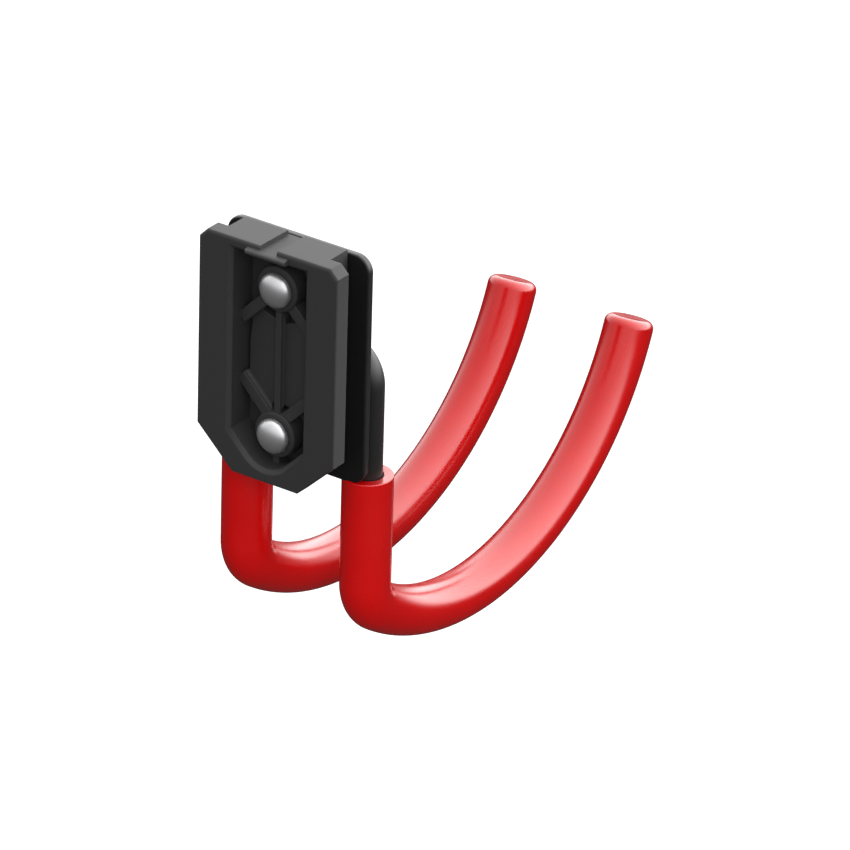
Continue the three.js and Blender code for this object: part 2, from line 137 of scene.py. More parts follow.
class CleatSettings(bpy.types.PropertyGroup):
    """The moulded cleat: a front plate inside the rail and a neck behind it."""

    thickness: length("Front Plate", "Thickness of the plate inside the rail", 6.7 * MM)
    top_corner: length("Top Corner", "Cut across each top corner", 3.2 * MM)
    low_corner_x: length("Bottom Corner Width", "Cut on each bottom corner, across", 15 * MM)
    low_corner_z: length("Bottom Corner Height", "Cut on each bottom corner, up", 14.3 * MM)
    top_round: length("Top Edge", "Rounding of the top front edge", 1.4 * MM)
    edge_round: length("Edges", "Rounding of the other outer edges", 0.45 * MM)
    neck_width: length("Neck Width", "Width of the neck between the rail's lips", 42.3 * MM)
    neck_bottom: length("Neck Bottom", "Height of the neck's lowest edge", 1 * MM)
    neck_corner: length("Neck Corner", "Cut on each lower corner of the neck", 13 * MM)
    neck_round: length("Neck Top Edge", "Rounding of the neck's rear top edge", 1.6 * MM)
    slot_fillet: length("Slot Fillet", "Rounding inside each rail slot", 0.8 * MM)
    channel_width: length("Channel Width", "Width of the channel along the top", 7.2 * MM)
    channel_depth: length("Channel Depth", "Depth of the channel along the top", 1.6 * MM)
    lip_width: length("Lip Width", "Width of the lip at the channel's front end", 16.7 * MM)
    lip_thickness: length("Lip Thickness", "Height of the lip where it leaves the plate", 2.4 * MM)
    lip_drop: length("Lip Drop", "How far the lip's top slopes down to its nose", 0.9 * MM)
    lip_below_top: length("Lip Below Top", "The lip's root below the cleat's top", 1.1 * MM)
    lip_round: length("Lip Edges", "Rounding of the lip", 0.6 * MM)


class PocketSettings(bpy.types.PropertyGroup):
    """The ribbed pocket in the cleat's wall side."""

    width: length("Width", "Width of the pocket below its rim", 30.4 * MM)
    depth: length("Depth", "Depth of the pocket's floor", 12.3 * MM)
    top_wall: length("Top Wall", "Wall above the pocket", 4.5 * MM)
    low_wall: length("Bottom Wall", "Wall below the pocket at the middle", 4.9 * MM)
    low_radius: length("Bottom Radius", "Radius of the pocket's round bottom", 10.9 * MM)
    rim: length("Rim", "Width of the sloping rim", 1.4 * MM)
    rim_edge: length("Rim Edges", "Rounding of both sides of the rim", 0.2 * MM)
    rib_width: length("Rib Width", "Width of the upright rib", 2.7 * MM)
    rib_face: length("Rib Face", "Depth of the upright rib's face", 6.7 * MM)
    brace_width: length("Brace Width", "Width of each sloping brace", 4.2 * MM)
    brace_face: length("Brace Face", "Depth of the braces' faces", 6.1 * MM)
    low_brace_lift: length("Lower Brace Lift", "Height of the lower braces over the rivet", 3.1 * MM)
    pad_face: length("Pad Face", "Depth of the raised pads' faces", 9.2 * MM)
    pad_side_gap: length("Pad Side Gap", "Gap between a pad and the side wall", 1.7 * MM)
    pad_high_gap: length("Upper Pad Gap", "Gap between the upper boss and the pads", 5.5 * MM)
    pad_low_gap: length("Lower Pad Gap", "Gap between the pads and the lower boss", 2.2 * MM)
    pad_end_slope: share("Pad End Slope", "Slope of the pads' ends towards the sides", 0.32)
    boss_radius: length("Boss Radius", "Radius of each rivet boss", 8.4 * MM)
    boss_face: length("Boss Face", "Depth of the bosses' faces", 5.4 * MM)
    boss_edge: length("Boss Edge", "Bevel round each boss", 0.9 * MM)
    edge_round: length("Edges", "Rounding of the ribs, braces and pads", 0.35 * MM)


class PlateSettings(bpy.types.PropertyGroup):
    """The steel plate riveted to the cleat's back."""

    corner: length("Corner Radius", "Radius of the plate's corners", 6 * MM)
    edge_round: length("Edges", "Rounding of the plate's edges", 0.8 * MM)


class RivetSettings(bpy.types.PropertyGroup):
    """The two domed rivets."""

    shank: length("Shank Radius", "Radius of the shank", 3.2 * MM)
    tail: length("Tail Radius", "Radius of the formed tail", 4.8 * MM)
    head_height: length("Head Height", "Height of the domed head", 3.8 * MM)
    rim: length("Head Rim", "Height of the upright rim under the dome", 0.45 * MM)


class RodSettings(bpy.types.PropertyGroup):
    """The bent rod, and the way that its arms run."""

    elbow: length("Elbow Radius", "Radius of the two upper bends", 12 * MM)
    leg_low: length("Leg End", "Height where the legs start to bend outwards", -40 * MM)
    heel: length("Heel Radius", "Radius of the first bend of each arm", 14.6 * MM)
    heel_angle: angle("Heel Angle", "How far the first bend turns", 56)
    sweep: length("Sweep Radius", "Radius of each arm's long curve", 102.7 * MM)
    sweep_angle: angle("Sweep Angle", "How far the long curve turns", 104.8)


class SleeveSettings(bpy.types.PropertyGroup):
    """The two soft sleeves."""

    tip_round: length("Tip Rounding", "Radius round the closed tip", 3 * MM)
    tip_wall: length("Tip Wall", "Soft material beyond the rod's end", 5 * MM)
    mouth_round: length("Mouth Rounding", "Rounding of the open end's edges", 0.4 * MM)


class WeldSettings(bpy.types.PropertyGroup):
    """The weld beads between the rod and the plate."""

    radius: length("Bead Radius", "Half the width of a bead", 1.3 * MM)
    ripple: length("Ripple", "Height of the ripples along a bead", 0.16 * MM)
    pitch: length("Ripple Pitch", "Distance between ripples", 1.3 * MM)


class FinishSettings(bpy.types.PropertyGroup):
    """Colours and gloss of the four finishes."""

    plastic: colour("Plastic", "Colour of the moulded cleat", (0.0035, 0.0036, 0.0038))
    plastic_gloss: share("Plastic Roughness", "Roughness of the moulded cleat", 0.32)
    paint: colour("Paint", "Colour of the coated steel", (0.001, 0.001, 0.0011))
    paint_gloss: share("Paint Roughness", "Roughness of the coated steel", 0.24)
    vinyl: colour("Vinyl", "Colour of the sleeves", (0.52, 0.0004, 0.0006))
    vinyl_gloss: share("Vinyl Roughness", "Roughness of the sleeves", 0.24)
    steel: colour("Bright Steel", "Colour of the rivets", (0.68, 0.68, 0.69))
    steel_gloss: share("Bright Steel Roughness", "Roughness of the rivets", 0.25)


class StageSettings(bpy.types.PropertyGroup):
    """Camera, floor and light."""

    azimuth: angle("Azimuth", "Camera's place round the hook, from the wall side", 34.58)
    elevation: angle("Elevation", "Camera's height above the horizon", 26.89)
    roll: angle("Roll", "Camera's turn about its own line of sight", 1.72)
    distance: length("Distance", "Camera's distance", 2400 * MM)
    aim_right: length("Aim Right", "How far right of the aim point the camera looks", 31.52 * MM)
    aim_up: length("Aim Up", "How far above the aim point the camera looks", -29.27 * MM)
    lens: FloatProperty(name="Lens", description="Focal length in millimetres", default=297.6)
    floor_drop: length("Floor Drop", "Floor's distance below the hook", 350 * MM)


SETTINGS = {
    "hook_cleat": CleatSettings,
    "hook_pocket": PocketSettings,
    "hook_plate": PlateSettings,
    "hook_rivets": RivetSettings,
    "hook_rod": RodSettings,
    "hook_sleeves": SleeveSettings,
    "hook_welds": WeldSettings,
    "hook_finish": FinishSettings,
    "hook_stage": StageSettings,
}


# ------------------------------------------------------------------ solids

def prism(outline, low, high, axis="Y"):
    """A closed bmesh: an outline drawn across (or in depth) and up, drawn out along an axis."""
    bm = bmesh.new()
    if axis == "Y":
        corners = [bm.verts.new((a, low, b)) for a, b in outline]
    else:
        corners = [bm.verts.new((low, a, b)) for a, b in outline]
    bm.faces.new(corners)
    drawn = bmesh.ops.extrude_face_region(bm, geom=bm.faces[:])
    moved = [part for part in drawn["geom"] if isinstance(part, bmesh.types.BMVert)]
    step = (0, high - low, 0) if axis == "Y" else (high - low, 0, 0)
    bmesh.ops.translate(bm, verts=moved, vec=step)
    bmesh.ops.recalc_face_normals(bm, faces=bm.faces[:])
    return bm


def block(low, high):
    """A closed box between two corners."""
    outline = [(low[0], low[2]), (high[0], low[2]), (high[0], high[2]), (low[0], high[2])]
    return prism(outline, low[1], high[1])


def round_bar(radius, z, y_from, y_to, sides=64):
    """A round bar along Y at a height."""
    bm = bmesh.new()
    bmesh.ops.create_cone(
        bm, cap_ends=True, segments=sides, radius1=radius, radius2=radius, depth=y_to - y_from,
        matrix=Matrix.Translation((0, (y_from + y_to) / 2, z)) @ Matrix.Rotation(math.pi / 2, 4, "X"),
    )
    return bm


def bevel(bm, edges, offset, segments=3):
    """Rounds the given edges."""
    return bmesh.ops.bevel(
        bm, geom=list(edges), offset=offset, offset_type="OFFSET", affect="EDGES",
        segments=segments, profile=0.5, material=-1, clamp_overlap=True,
    )


def edges_where(bm, test):
    """The edges whose two ends both pass a test of their place."""
    return [edge for edge in bm.edges if all(test(vert.co) for vert in edge.verts)]


def near(value, target):
    """Whether two sizes are the same to within a hundredth of a millimetre."""
    return abs(value - target) < TOLERANCE


def object_from(name, bm):
    """An object of a bmesh, linked to the scene."""
    mesh = bpy.data.meshes.new(name)
    bm.to_mesh(mesh)
    bm.free()
    piece = bpy.data.objects.new(name, mesh)
    bpy.context.scene.collection.objects.link(piece)
    return piece


def apply_modifiers(piece):
    """Makes the piece's modifiers part of its mesh."""
    depsgraph = bpy.context.evaluated_depsgraph_get()
    mesh = bpy.data.meshes.new_from_object(piece.evaluated_get(depsgraph))
    old = piece.data
    piece.modifiers.clear()
    piece.data = mesh
    bpy.data.meshes.remove(old)


def combine(piece, solids, operation):
    """Joins solids to a piece or cuts them out of it."""
    tool_mesh = bmesh.new()
    for bm in solids:
        part = bpy.data.meshes.new("part")
        bm.to_mesh(part)
        bm.free()
        tool_mesh.from_mesh(part)
        bpy.data.meshes.remove(part)
    tool = object_from("tool", tool_mesh)
    modifier = piece.modifiers.new("Combine", "BOOLEAN")
    modifier.operation = operation
    modifier.solver = "EXACT"
    modifier.use_self = len(solids) > 1
    modifier.object = tool
    apply_modifiers(piece)
    bpy.data.objects.remove(tool)
    if not piece.data.polygons:
        raise RuntimeError(f"{piece.name}: nothing is left after {operation.lower()}")


def rework(piece, change):
    """Runs a change on the piece's mesh as a bmesh."""
    bm = bmesh.new()
    bm.from_mesh(piece.data)
    change(bm)
    bm.to_mesh(piece.data)
    bm.free()


def finish_piece(piece, finish, node, sharp=35):
    """Smooths a finished piece, gives it its finish and lets it stand for its CAD node."""
    made = bpy.data.materials.get(finish.__name__)
    mesh = piece.data
    mesh.materials.clear()
    mesh.materials.append(made or finish(bpy.context.scene.hook_finish))
    mesh.shade_smooth()
    mesh.set_sharp_from_angle(angle=math.radians(sharp))
    weighted = piece.modifiers.new("Even Faces", "WEIGHTED_NORMAL")
    weighted.keep_sharp = True
    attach(piece, "root")
    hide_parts(node)


class Sweep:
    """A ring of edges that is drawn along straights and bends, as a bar is fed and bent.

    Each point keeps its place on the bar as if the bar were straight, in the attribute
    "straightened": across the section twice, then along the bar.
    """

    def __init__(self, centre, heading, radius, sides):
        self.bm = bmesh.new()
        self.layer = self.bm.verts.layers.float_vector.new("straightened")
        self.centre = Vector(centre)
        self.heading = Vector(heading).normalized()
        self.radius = radius
        self.along = 0.0
        turn = Vector((0, 0, 1)).rotation_difference(self.heading).to_matrix().to_4x4()
        made = bmesh.ops.create_circle(
            self.bm, cap_ends=False, segments=sides, radius=radius,
            matrix=Matrix.Translation(self.centre) @ turn,
        )
        side_axis = turn.to_3x3() @ Vector((1, 0, 0))
        up_axis = turn.to_3x3() @ Vector((0, 1, 0))
        for vert in made["verts"]:
            spot = vert.co - self.centre
            vert[self.layer] = (spot.dot(side_axis), spot.dot(up_axis), 0)
        self.ring = list({edge for vert in made["verts"] for edge in vert.link_edges})

    def _draw(self, length):
        """Draws a new ring out of the last one and gives its points."""
        drawn = bmesh.ops.extrude_edge_only(self.bm, edges=self.ring)
        verts = [part for part in drawn["geom"] if isinstance(part, bmesh.types.BMVert)]
        edges = [part for part in drawn["geom"] if isinstance(part, bmesh.types.BMEdge)]
        self.ring = [edge for edge in edges if all(vert in verts for vert in edge.verts)]
        self.along += length
        for vert in verts:
            place = vert[self.layer]
            vert[self.layer] = (place.x, place.y, self.along)
        return verts

    def straight(self, length, steps):
        """Goes straight on."""
        for _ in range(steps):
            step = self.heading * (length / steps)
            bmesh.ops.translate(self.bm, verts=self._draw(length / steps), vec=step)
            self.centre += step

    def bend(self, towards, radius, turn, steps):
        """Bends towards a direction, round a centre that lies that far to the side."""
        side = Vector(towards).normalized()
        middle = self.centre + side * radius
        axis = self.heading.cross(side)
        rotation = Matrix.Rotation(turn / steps, 3, axis)
        for _ in range(steps):
            bmesh.ops.rotate(
                self.bm, verts=self._draw(radius * turn / steps), cent=middle, matrix=rotation,
            )
            self.centre = middle + rotation @ (self.centre - middle)
        self.heading = (Matrix.Rotation(turn, 3, axis) @ self.heading).normalized()

    def resize(self, radius, advance=0.0):
        """Draws a ring of another size, further on or back along the heading."""
        verts = self._draw(advance)
        about = Matrix.Translation(-self.centre)
        scale = radius / self.radius
        bmesh.ops.scale(self.bm, verts=verts, vec=(scale, scale, scale), space=about)
        bmesh.ops.translate(self.bm, verts=verts, vec=self.heading * advance)
        self.centre += self.heading * advance
        self.radius = radius

    def corner(self, size, inward, steps):
        """A quarter-round edge: the ring shrinks (inward) or grows by size as it goes on."""
        start = self.radius
        for step in range(1, steps + 1):
            turn = math.pi / 2 * step / steps
            before = math.pi / 2 * (step - 1) / steps
            if inward:
                grown = start - size * (1 - math.cos(turn))
                advance = size * (math.sin(turn) - math.sin(before))
            else:
                grown = start + size * math.sin(turn)
                advance = size * (math.cos(before) - math.cos(turn))
            self.resize(grown, advance)

    def cap(self):
        """Closes the last ring with a face."""
        bmesh.ops.contextual_create(self.bm, geom=self.ring)

    def done(self):
        """The finished bmesh."""
        bmesh.ops.recalc_face_normals(self.bm, faces=self.bm.faces[:])
        return self.bm


# ------------------------------------------------------------------ shared effects

class Nodes:
    """Adds and links the nodes of one tree in short calls."""

    def __init__(self, tree):
        self.tree = tree

    def add(self, kind, **settings):
        """A new node with its settings."""
        node = self.tree.nodes.new(kind)
        for key, value in settings.items():
            setattr(node, key, value)
        return node

    def join(self, source, target):
        """Links an output to an input."""
        self.tree.links.new(source, target)

    def noise(self, vector, scale, detail):
        """Noise from 0 to 1."""
        node = self.add("ShaderNodeTexNoise")
        node.inputs["Scale"].default_value = scale
        node.inputs["Detail"].default_value = detail
        self.join(vector, node.inputs["Vector"])
        return node.outputs["Fac"]

    def stretch(self, vector, scale):
        """Coordinates with another scale along each axis."""
        node = self.add("ShaderNodeMapping")
        node.inputs["Scale"].default_value = scale
        self.join(vector, node.inputs["Vector"])
        return node.outputs["Vector"]

    def span(self, value, low, high, to_low=0.0, to_high=1.0):
        """Maps one span of numbers onto another, and stops at its ends."""
        node = self.add("ShaderNodeMapRange", clamp=True)
        ends = {"From Min": low, "From Max": high, "To Min": to_low, "To Max": to_high}
        for name, number in ends.items():
            node.inputs[name].default_value = number
        self.join(value, node.inputs["Value"])
        return node.outputs["Result"]

    def calc(self, operation, first, second):
        """One step of arithmetic on two numbers."""
        node = self.add("ShaderNodeMath", operation=operation)
        for socket, value in zip(node.inputs, (first, second)):
            if isinstance(value, (int, float)):
                socket.default_value = value
            else:
                self.join(value, socket)
        return node.outputs["Value"]

    def blend(self, amount, first, second, kind="Color"):
        """Mixes two colours, or two numbers where kind is Float."""
        node = self.add("ShaderNodeMix", data_type="RGBA" if kind == "Color" else "FLOAT")
        given = {"Factor_Float": amount, f"A_{kind}": first, f"B_{kind}": second}
        for name, value in given.items():
            socket = next(entry for entry in node.inputs if entry.identifier == name)
            if isinstance(value, (int, float)):
                socket.default_value = value
            elif isinstance(value, bpy.types.NodeSocket):
                self.join(value, socket)
            else:
                socket.default_value = (*value, 1)
        return next(entry for entry in node.outputs if entry.identifier == f"Result_{kind}")


def effect_group(name, inputs, outputs):
    """An empty node group with named float, vector and colour sockets."""
    group = bpy.data.node_groups.new(name, "ShaderNodeTree")
    for label, kind, default in inputs:
        socket = group.interface.new_socket(name=label, in_out="INPUT", socket_type=kind)
        if default is not None:
            socket.default_value = default
    for label, kind in outputs:
        group.interface.new_socket(name=label, in_out="OUTPUT", socket_type=kind)
    nodes = Nodes(group)
    return group, nodes, nodes.add("NodeGroupInput").outputs, nodes.add("NodeGroupOutput").inputs


def surface_grain_group():
    """Fine and coarse unevenness of a surface: a height and a mottling mask."""
    group, nodes, given, gives = effect_group(
        "surface_grain",
        [
            ("Vector", "NodeSocketVector", None),
            ("Fine Scale", "NodeSocketFloat", 2500.0),
            ("Coarse Scale", "NodeSocketFloat", 160.0),
            ("Coarse Share", "NodeSocketFloat", 0.4),
        ],
        [("Height", "NodeSocketFloat"), ("Mottle", "NodeSocketFloat")],
    )
    fine = nodes.add("ShaderNodeTexNoise")
    fine.inputs["Detail"].default_value = 2.5
    coarse = nodes.add("ShaderNodeTexNoise")
    coarse.inputs["Detail"].default_value = 2.0
    for texture, scale in ((fine, "Fine Scale"), (coarse, "Coarse Scale")):
        nodes.join(given["Vector"], texture.inputs["Vector"])
        nodes.join(given[scale], texture.inputs["Scale"])
    height = nodes.blend(given["Coarse Share"], fine.outputs["Fac"], coarse.outputs["Fac"], "Float")
    nodes.join(height, gives["Height"])
    nodes.join(nodes.span(coarse.outputs["Fac"], 0.3, 0.7), gives["Mottle"])
    return group


def edge_wear_group():
    """A mask of rubbed outer edges, broken up by noise."""
    group, nodes, given, gives = effect_group(
        "edge_wear",
        [
            ("Vector", "NodeSocketVector", None),
            ("Width", "NodeSocketFloat", 0.6 * MM),
            ("Break Up Scale", "NodeSocketFloat", 350.0),
        ],
        [("Mask", "NodeSocketFloat")],
    )
    rounded = nodes.add("ShaderNodeBevel", samples=4)
    nodes.join(given["Width"], rounded.inputs["Radius"])
    surface = nodes.add("ShaderNodeNewGeometry")
    turned = nodes.add("ShaderNodeVectorMath", operation="DOT_PRODUCT")
    nodes.join(rounded.outputs["Normal"], turned.inputs[0])
    nodes.join(surface.outputs["Normal"], turned.inputs[1])
    edge = nodes.span(turned.outputs["Value"], 0.995, 0.9)
    speckle = nodes.add("ShaderNodeTexNoise")
    speckle.inputs["Detail"].default_value = 4.0
    nodes.join(given["Vector"], speckle.inputs["Vector"])
    nodes.join(given["Break Up Scale"], speckle.inputs["Scale"])
    broken = nodes.span(speckle.outputs["Fac"], 0.42, 0.62)
    nodes.join(nodes.calc("MULTIPLY", edge, broken), gives["Mask"])
    return group


def settled_dust_group():
    """A mask of dust that lies in sheltered corners."""
    group, nodes, given, gives = effect_group(
        "settled_dust",
        [("Vector", "NodeSocketVector", None), ("Reach", "NodeSocketFloat", 4 * MM)],
        [("Mask", "NodeSocketFloat")],
    )
    shelter = nodes.add("ShaderNodeAmbientOcclusion", samples=4)
    nodes.join(given["Reach"], shelter.inputs["Distance"])
    patches = nodes.add("ShaderNodeTexNoise")
    patches.inputs["Scale"].default_value = 260.0
    patches.inputs["Detail"].default_value = 5.0
    nodes.join(given["Vector"], patches.inputs["Vector"])
    corner = nodes.span(shelter.outputs["AO"], 0.75, 0.25)
    cloud = nodes.span(patches.outputs["Fac"], 0.35, 0.75)
    nodes.join(nodes.calc("MULTIPLY", corner, cloud), gives["Mask"])
    return group


def effect(nodes, name, builder, vector, **values):
    """Places a shared effect, building its group the first time."""
    group = bpy.data.node_groups.get(name) or builder()
    node = nodes.add("ShaderNodeGroup", node_tree=group)
    nodes.join(vector, node.inputs["Vector"])
    for label, value in values.items():
        node.inputs[label.replace("_", " ").title()].default_value = value
    return node.outputs


# ------------------------------------------------------------------ finishes

def shade_tree(name):
    """A new material's nodes, its Principled shader and its Object coordinates."""
    material = bpy.data.materials.new(name)
    material.use_nodes = True
    nodes = Nodes(material.node_tree)
    shader = material.node_tree.nodes["Principled BSDF"]
    place = nodes.add("ShaderNodeTexCoord").outputs["Object"]
    return material, nodes, shader, place


def add_bump(nodes, shader, height, distance, strength):
    """Gives a shader small relief."""
    bump = nodes.add("ShaderNodeBump")
    bump.inputs["Strength"].default_value = strength
    bump.inputs["Distance"].default_value = distance
    nodes.join(height, bump.inputs["Height"])
    nodes.join(bump.outputs["Normal"], shader.inputs["Normal"])


def moulded_plastic(finish):
    """Black moulded plastic: fine spark grain, slightly polished edges, dust in corners."""
    material, nodes, shader, place = shade_tree("moulded_plastic")
    grain = effect(nodes, "surface_grain", surface_grain_group, place,
                   fine_scale=3200.0, coarse_scale=140.0, coarse_share=0.25)
    wear = effect(nodes, "edge_wear", edge_wear_group, place, width=0.7 * MM, break_up_scale=300.0)
    dust = effect(nodes, "settled_dust", settled_dust_group, place, reach=3 * MM)

    base = Vector(finish.plastic)
    toned = nodes.blend(grain["Mottle"], base * 0.86, base * 1.12)
    rubbed = nodes.blend(nodes.calc("MULTIPLY", wear["Mask"], 0.5), toned, base * 2.2)
    dusty = nodes.blend(nodes.calc("MULTIPLY", dust["Mask"], 0.1), rubbed, (0.05, 0.048, 0.045))
    nodes.join(dusty, shader.inputs["Base Color"])

    low, high = finish.plastic_gloss - 0.04, finish.plastic_gloss + 0.05
    rough = nodes.span(grain["Height"], 0.35, 0.65, low, high)
    polish = nodes.calc("MULTIPLY", wear["Mask"], 0.08)
    nodes.join(nodes.calc("SUBTRACT", rough, polish), shader.inputs["Roughness"])
    shader.inputs["IOR"].default_value = 1.5
    add_bump(nodes, shader, grain["Height"], 0.03 * MM, 0.3)
    return material


def painted_steel(finish):
    """Smooth black coating on steel: faint orange peel and fine specks."""
    material, nodes, shader, place = shade_tree("painted_steel")
    grain = effect(nodes, "surface_grain", surface_grain_group, place,
                   fine_scale=900.0, coarse_scale=220.0, coarse_share=0.6)
    wear = effect(nodes, "edge_wear", edge_wear_group, place, width=0.5 * MM, break_up_scale=520.0)
    dust = effect(nodes, "settled_dust", settled_dust_group, place, reach=3 * MM)

    base = Vector(finish.paint)
    toned = nodes.blend(grain["Mottle"], base * 0.85, base * 1.2)
    rubbed = nodes.blend(nodes.calc("MULTIPLY", wear["Mask"], 0.35), toned, (0.02, 0.02, 0.021))
    dusty = nodes.blend(nodes.calc("MULTIPLY", dust["Mask"], 0.08), rubbed, (0.04, 0.038, 0.036))
    nodes.join(dusty, shader.inputs["Base Color"])
    low, high = finish.paint_gloss - 0.04, finish.paint_gloss + 0.06
    nodes.join(nodes.span(grain["Mottle"], 0, 1, low, high), shader.inputs["Roughness"])
    shader.inputs["IOR"].default_value = 1.5
    add_bump(nodes, shader, grain["Height"], 0.04 * MM, 0.2)
    return material


def red_vinyl(finish):
    """Soft red vinyl: slight streaks along the sleeve, faint waviness, clear gloss."""
    material, nodes, shader, _ = shade_tree("red_vinyl")
    unrolled = nodes.add("ShaderNodeAttribute", attribute_name="straightened").outputs["Vector"]
    drawn = nodes.stretch(unrolled, (1, 1, 0.06))
    streaks = nodes.noise(drawn, 420.0, 4.0)
    grain = effect(nodes, "surface_grain", surface_grain_group, unrolled,
                   fine_scale=1500.0, coarse_scale=60.0, coarse_share=0.55)

    base = Vector(finish.vinyl)
    toned = nodes.blend(grain["Mottle"], base * 0.95, base * 1.03)
    streaked = nodes.blend(nodes.span(streaks, 0.4, 0.75), toned, base * 0.97)
    nodes.join(streaked, shader.inputs["Base Color"])
    low, high = finish.vinyl_gloss - 0.03, finish.vinyl_gloss + 0.05
    nodes.join(nodes.span(streaks, 0.3, 0.7, low, high), shader.inputs["Roughness"])
    shader.inputs["IOR"].default_value = 1.5
    shader.inputs["Coat Weight"].default_value = 0.15
    shader.inputs["Coat Roughness"].default_value = 0.12
    height = nodes.calc("ADD", nodes.calc("MULTIPLY", streaks, 0.35), grain["Height"])
    add_bump(nodes, shader, height, 0.03 * MM, 0.25)
    return material


def bright_steel(finish):
    """Zinc-bright steel: fine turned lines round the rivet and light handling marks."""
    material, nodes, shader, place = shade_tree("bright_steel")
    turned = nodes.noise(nodes.stretch(place, (1, 14, 1)), 260.0, 4.0)
    grain = effect(nodes, "surface_grain", surface_grain_group, place,
                   fine_scale=2600.0, coarse_scale=320.0, coarse_share=0.5)
    base = Vector(finish.steel)
    nodes.join(nodes.blend(grain["Mottle"], base * 0.9, base * 1.04), shader.inputs["Base Color"])
    shader.inputs["Metallic"].default_value = 1.0
    low, high = finish.steel_gloss - 0.05, finish.steel_gloss + 0.07
    nodes.join(nodes.span(turned, 0.3, 0.7, low, high), shader.inputs["Roughness"])
    add_bump(nodes, shader, grain["Height"], 0.02 * MM, 0.4)
    return material


# ------------------------------------------------------------------ cleat

def weigh_edges(piece, width, segments, weights):
    """Rounds edges by share of a width: weights is a list of a test and a share."""
    def mark(bm):
        layer = bm.edges.layers.float.new("bevel_weight_edge")
        for test, amount in weights:
            for edge in edges_where(bm, test):
                edge[layer] = amount
    rework(piece, mark)
    modifier = piece.modifiers.new("Rounded Edges", "BEVEL")
    modifier.limit_method = "WEIGHT"
    modifier.width = width
    modifier.segments = segments
    modifier.profile = 0.5
    modifier.use_clamp_overlap = True
    apply_modifiers(piece)


def front_plate(cleat):
    """The plate that sits inside the rail, with cut corners and rounded edges."""
    half, top, back = CLEAT_HIGH.x, CLEAT_HIGH.z, cleat.thickness
    low_x = half - cleat.low_corner_x
    outline = [
        (-low_x, 0), (low_x, 0), (half, cleat.low_corner_z), (half, top - cleat.top_corner),
        (half - cleat.top_corner, top), (-half + cleat.top_corner, top),
        (-half, top - cleat.top_corner), (-half, cleat.low_corner_z),
    ]
    piece = object_from("cleat_moulding", prism(outline, 0, back))
    small = cleat.edge_round / cleat.top_round
    shoulder = top - cleat.top_corner - TOLERANCE
    weigh_edges(piece, cleat.top_round, 4, [
        (lambda place: near(place.y, 0), small),
        (lambda place: near(place.y, back), small * 0.7),
        (lambda place: near(place.y, 0) and place.z > shoulder, 1.0),
    ])
    return piece


def neck(cleat):
    """The narrower block behind the front plate, with a rounded rear top edge."""
    half, top = cleat.neck_width / 2, CLEAT_HIGH.z
    low_x = half - cleat.neck_corner
    low_z = cleat.neck_bottom + cleat.neck_corner
    outline = [
        (-low_x, cleat.neck_bottom), (low_x, cleat.neck_bottom), (half, low_z),
        (half, top), (-half, top), (-half, low_z),
    ]
    piece = object_from("neck", prism(outline, cleat.thickness / 2, CLEAT_HIGH.y))
    small = cleat.edge_round / cleat.neck_round
    weigh_edges(piece, cleat.neck_round, 5, [
        (lambda place: near(place.y, CLEAT_HIGH.y), small),
        (lambda place: near(place.y, CLEAT_HIGH.y) and near(place.z, top), 1.0),
    ])
    bm = bmesh.new()
    bm.from_mesh(piece.data)
    bpy.data.objects.remove(piece)
    return bm


def lip(cleat):
    """The lip at the channel's front end, with a sloping top and rounded edges."""
    top = CLEAT_HIGH.z - cleat.lip_below_top
    low = top - cleat.lip_thickness
    root = cleat.top_round
    outline = [(root, top), (CLEAT_LOW.y, top - cleat.lip_drop), (CLEAT_LOW.y, low), (root, low)]
    half = cleat.lip_width / 2
    bm = prism(outline, -half, half, axis="X")
    bevel(bm, edges_where(bm, lambda place: near(place.y, CLEAT_LOW.y)), cleat.lip_round, 4)
    return bm


def pocket_outline(pocket):
    """Straight sides, then 45 degree flanks that run into a round bottom."""
    half = pocket.width / 2
    middle_z = pocket.low_wall + pocket.low_radius
    tangent = pocket.low_radius * math.sqrt(0.5)
    flank_top = middle_z - tangent + half - tangent
    steps = 20
    arc = [
        (pocket.low_radius * math.sin(turn), middle_z - pocket.low_radius * math.cos(turn))
        for turn in (math.pi / 4 * (2 * step / steps - 1) for step in range(steps + 1))
    ]
    top = CLEAT_HIGH.z - pocket.top_wall
    return [(-half, top), (-half, flank_top), *arc, (half, flank_top), (half, top)]


def soften_rim(piece, pocket):
    """Slopes the pocket's rim, then takes the edge off both sides of the slope."""
    inside = pocket.width / 2 + TOLERANCE

    def on_rim(place):
        above = place.z > pocket.low_wall - TOLERANCE
        return near(place.y, 0) and abs(place.x) < inside and above

    def slope(bm):
        bevel(bm, edges_where(bm, on_rim), pocket.rim, 1)
        low = pocket.low_wall - pocket.rim - TOLERANCE
        wide = pocket.width / 2 + pocket.rim + TOLERANCE
        for depth in (0, pocket.rim):
            rim = edges_where(
                bm, lambda place: near(place.y, depth) and abs(place.x) < wide and place.z > low
                and place.z < CLEAT_HIGH.z - 2 * pocket.rim,
            )
            bevel(bm, rim, pocket.rim_edge, 2)

    rework(piece, slope)


def brace(pocket, side, height, lift, rise):
    """One sloping brace from a boss to the pocket's side wall."""
    reach = pocket.width / 2 * math.sqrt(2)
    half = pocket.brace_width / 2
    bm = block((0, pocket.brace_face, -half), (reach, pocket.depth + PAD_SINK, half))
    bevel(bm, edges_where(bm, lambda place: near(place.y, pocket.brace_face)), pocket.edge_round, 2)
    turn = Matrix.Rotation(-rise * math.pi / 4, 3, "Y")
    bmesh.ops.rotate(bm, verts=bm.verts[:], cent=(0, 0, 0), matrix=turn)
    bmesh.ops.translate(bm, verts=bm.verts[:], vec=(0, 0, height + lift))
    return mirrored(bm) if side < 0 else bm


